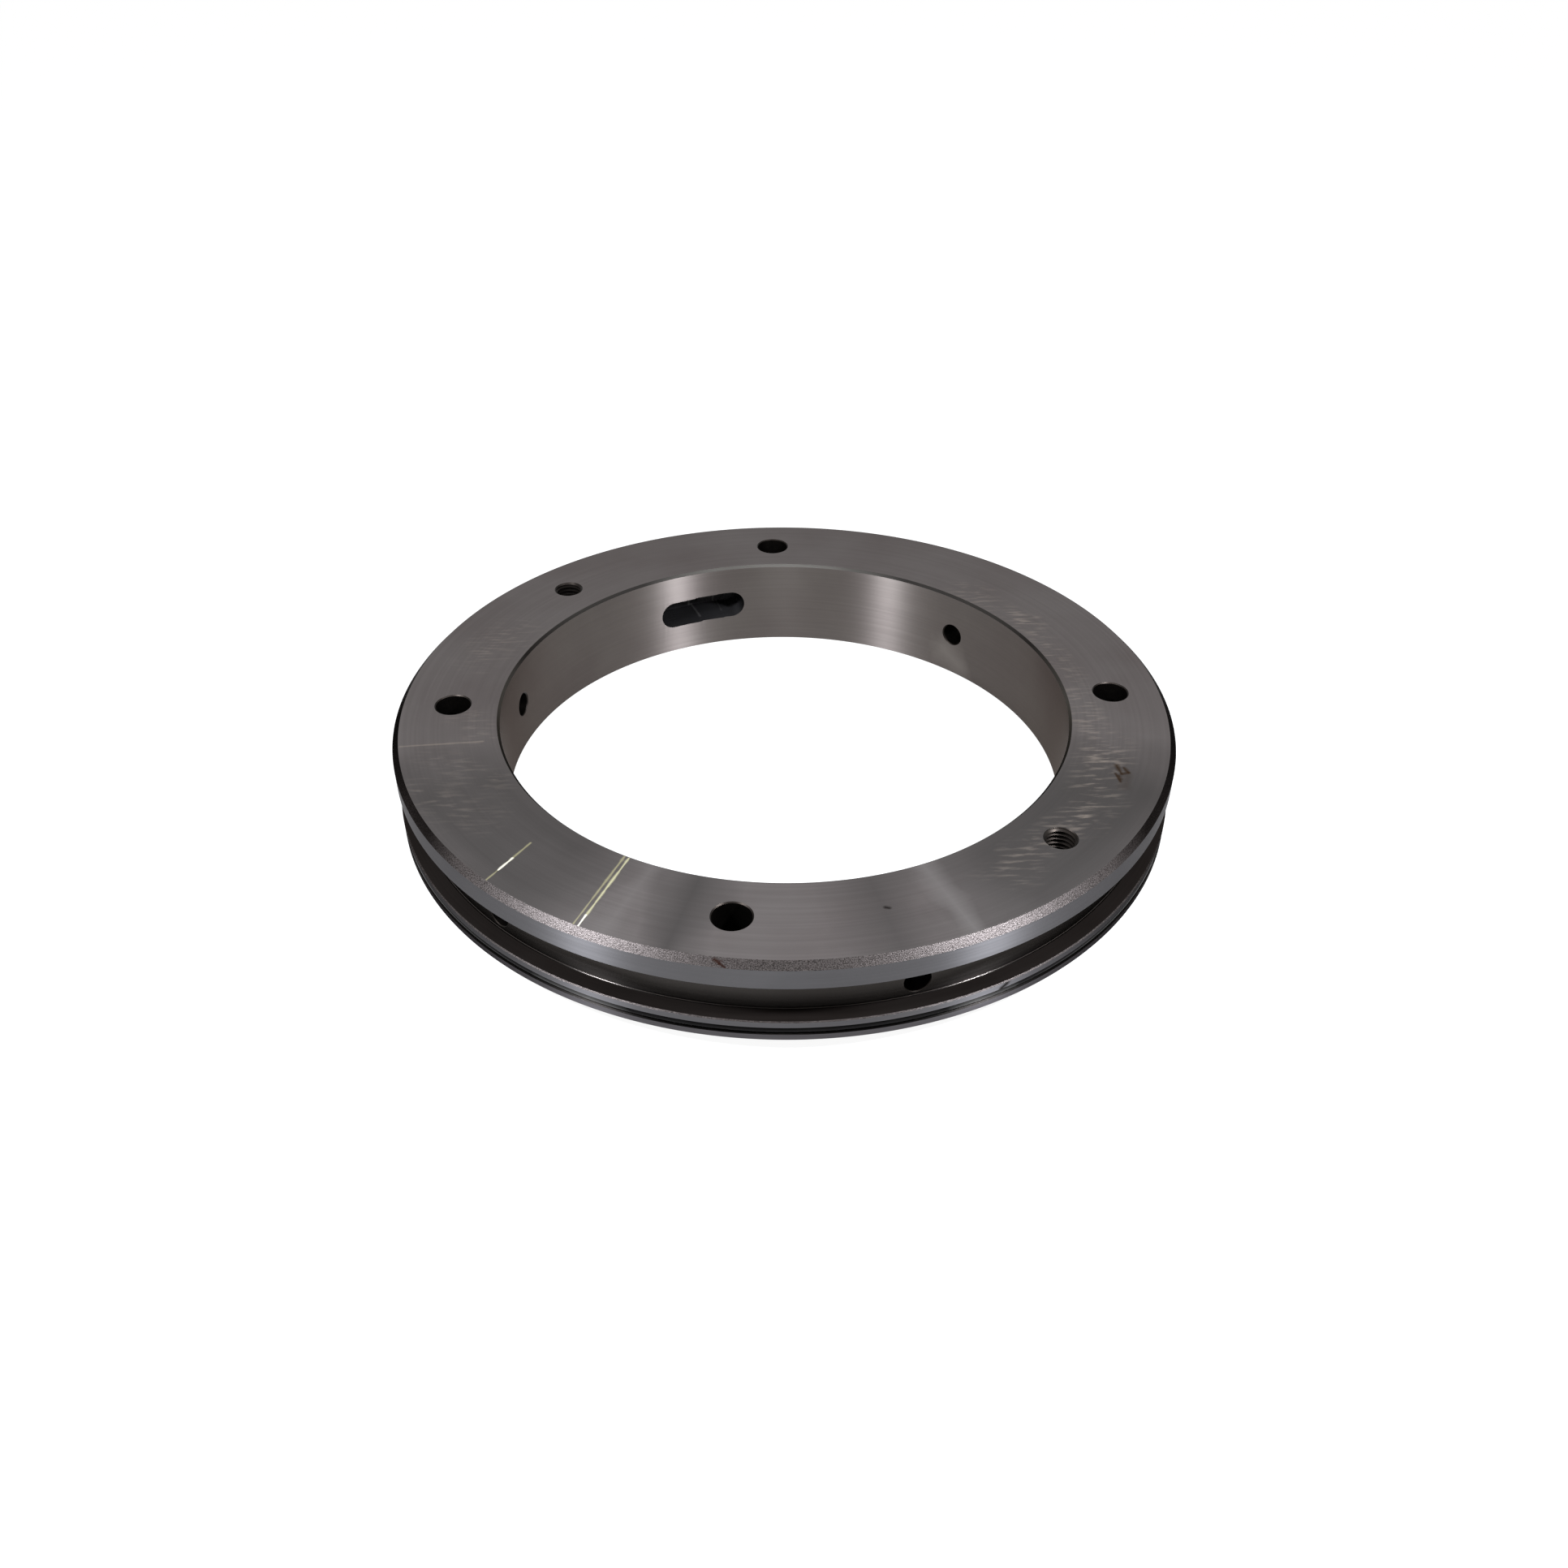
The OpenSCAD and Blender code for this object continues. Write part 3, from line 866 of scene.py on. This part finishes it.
# Polished chrome steel: a bright mirror with a little haze.
haze_size = 2  # mm across a patch of haze
ball_steel, tree, output = new_material("polished_chrome_steel")
place = add(tree, "TexCoord").outputs["Object"]
haze = add(
    tree, "TexNoise", {"Vector": place, "Scale": 1 / (haze_size * MM), "Detail": 2.0}
).outputs["Fac"]
ball_rough = add(
    tree, "MapRange", {"Value": haze, "To Min": 0.06, "To Max": 0.14}
).outputs["Result"]
surface = add(
    tree,
    "BsdfPrincipled",
    {"Base Color": colour("#c9c9cb"), "Roughness": ball_rough, "Metallic": 1.0},
)
tree.links.new(surface.outputs["BSDF"], output.inputs["Surface"])

ball_levels = 4  # times that the cube's faces are split
bpy.ops.object.select_all(action="DESELECT")
bpy.ops.mesh.primitive_cube_add(size=2 * ball_r * MM)
first_ball = bpy.context.object
bpy.ops.object.modifier_add(type="SUBSURF")
rounding = first_ball.modifiers[-1]
rounding.levels = rounding.render_levels = ball_levels
bpy.ops.object.modifier_apply(modifier=rounding.name)
for corner in first_ball.data.vertices:
    corner.co = corner.co.normalized() * ball_r * MM
first_ball.data.materials.append(ball_steel)
for i in range(ball_count):
    ball = first_ball.copy()
    ball.data = first_ball.data.copy()
    ball.name = ball.data.name = f"ball_{i + 1:02d}_piece"
    bpy.context.collection.objects.link(ball)
    spot = math.radians(i * 360 / ball_count)
    along, beside = pitch_r * MM * math.cos(spot), pitch_r * MM * math.sin(spot)
    ball.data.transform(Matrix.Translation((along, beside, ball_z * MM)))
    finish_piece(ball, "ball_set", "ball_steel", f"ball_{i + 1:02d}")
bpy.data.objects.remove(first_ball)


# Stage: a pale floor, a white surround, two lamps in front, a weak one above, and the photo's
# camera. The floor lies a little under the part, so that the two never share a plane.

floor_size, floor_drop = 6.0, 0.1  # metres across, and mm under the part
bpy.ops.object.select_all(action="DESELECT")
bpy.ops.mesh.primitive_plane_add(size=floor_size, location=(0, 0, -floor_drop * MM))
floor = bpy.context.object
floor.name = "floor"


def backdrop_rays(tree):
    """1 for rays that see the backdrop itself: the camera's, and those off or through a piece."""
    ray = add(tree, "LightPath").outputs
    seen = add(
        tree, "Math", {0: ray["Is Camera Ray"], 1: ray["Is Glossy Ray"]}, operation="MAXIMUM"
    ).outputs["Value"]
    return add(
        tree, "Math", {0: seen, 1: ray["Is Transmission Ray"]}, operation="MAXIMUM"
    ).outputs["Value"]


# Matt pale floor: shows as white with a faint shadow of the part.
glow_share, glow = 0.85, 1.08
white = (1, 1, 1, 1)
floor_white, tree, output = new_material("pale_floor")
glowing = add(
    tree, "Math", {0: backdrop_rays(tree), 1: glow_share}, operation="MULTIPLY"
).outputs["Value"]
matt = add(tree, "BsdfDiffuse", {"Color": colour("#f4f4f2")}).outputs["BSDF"]
lit = add(tree, "Emission", {"Color": white, "Strength": glow}).outputs["Emission"]
mixed = add(tree, "MixShader", {"Fac": glowing, 1: matt, 2: lit}).outputs["Shader"]
tree.links.new(mixed, output.inputs["Surface"])
floor.data.materials.append(floor_white)

# White surround: dimmer as a light than it is to the eye.
fill_strength, seen_strength = 0.6, 1.0
world = bpy.data.worlds.new("white_surround")
bpy.context.scene.world = world
world.use_nodes = True
tree = world.node_tree
tree.nodes.clear()
fill, backdrop = (
    add(tree, "Background", {"Color": white, "Strength": strength}).outputs["Background"]
    for strength in (fill_strength, seen_strength)
)
both = add(tree, "MixShader", {"Fac": backdrop_rays(tree), 1: fill, 2: backdrop}).outputs["Shader"]
tree.links.new(both, add(tree, "OutputWorld").inputs["Surface"])

centre = Vector((0, 0, top_z * MM))


def around(azimuth, elevation, distance):
    """A point that far from the top face's centre, in metres, seen from it at these angles."""
    a, e = math.radians(azimuth), math.radians(elevation)
    return centre + distance * Vector(
        (math.cos(e) * math.cos(a), math.cos(e) * math.sin(a), math.sin(e))
    )


lamp_size, lamp_distance = 0.07, 0.5  # metres
lamp_white = colour("#f4f8ff")[:3]
for name, azimuth, elevation, power in (
    ("lamp_left", 215.0, 40, 5.0),
    ("lamp_right", 322.3, 40, 6.0),
    ("lamp_above", 267.35, 60, 0.6),
):
    data = bpy.data.lights.new(name, "AREA")
    data.shape, data.size, data.energy = "DISK", lamp_size, power
    data.color = lamp_white
    lamp = bpy.data.objects.new(name, data)
    bpy.context.collection.objects.link(lamp)
    lamp.location = around(azimuth, elevation, lamp_distance)
    lamp.rotation_euler = (centre - lamp.location).to_track_quat("-Z", "Y").to_euler()

# The camera fits the photo's edges: its place, downward tilt, small roll and lens.
camera_data = bpy.data.cameras.new("photo_camera")
camera_data.lens, camera_data.sensor_width = 33.119, 36.0
camera = bpy.data.objects.new("photo_camera", camera_data)
bpy.context.collection.objects.link(camera)
bpy.context.scene.camera = camera
camera_azimuth, camera_elevation, camera_distance = 267.35, 33.123, 0.5646
look_down, roll = 36.526, 0.323
camera.location = around(camera_azimuth, camera_elevation, camera_distance)
camera.matrix_world = (
    Matrix.Translation(camera.location)
    @ Matrix.Rotation(math.radians(camera_azimuth + 90), 4, "Z")
    @ Matrix.Rotation(math.radians(90 - look_down), 4, "X")
    @ Matrix.Rotation(math.radians(roll), 4, "Z")
)
camera_data.clip_start, camera_data.clip_end = 0.01, 20.0

bpy.context.scene.view_settings.view_transform = "Standard"
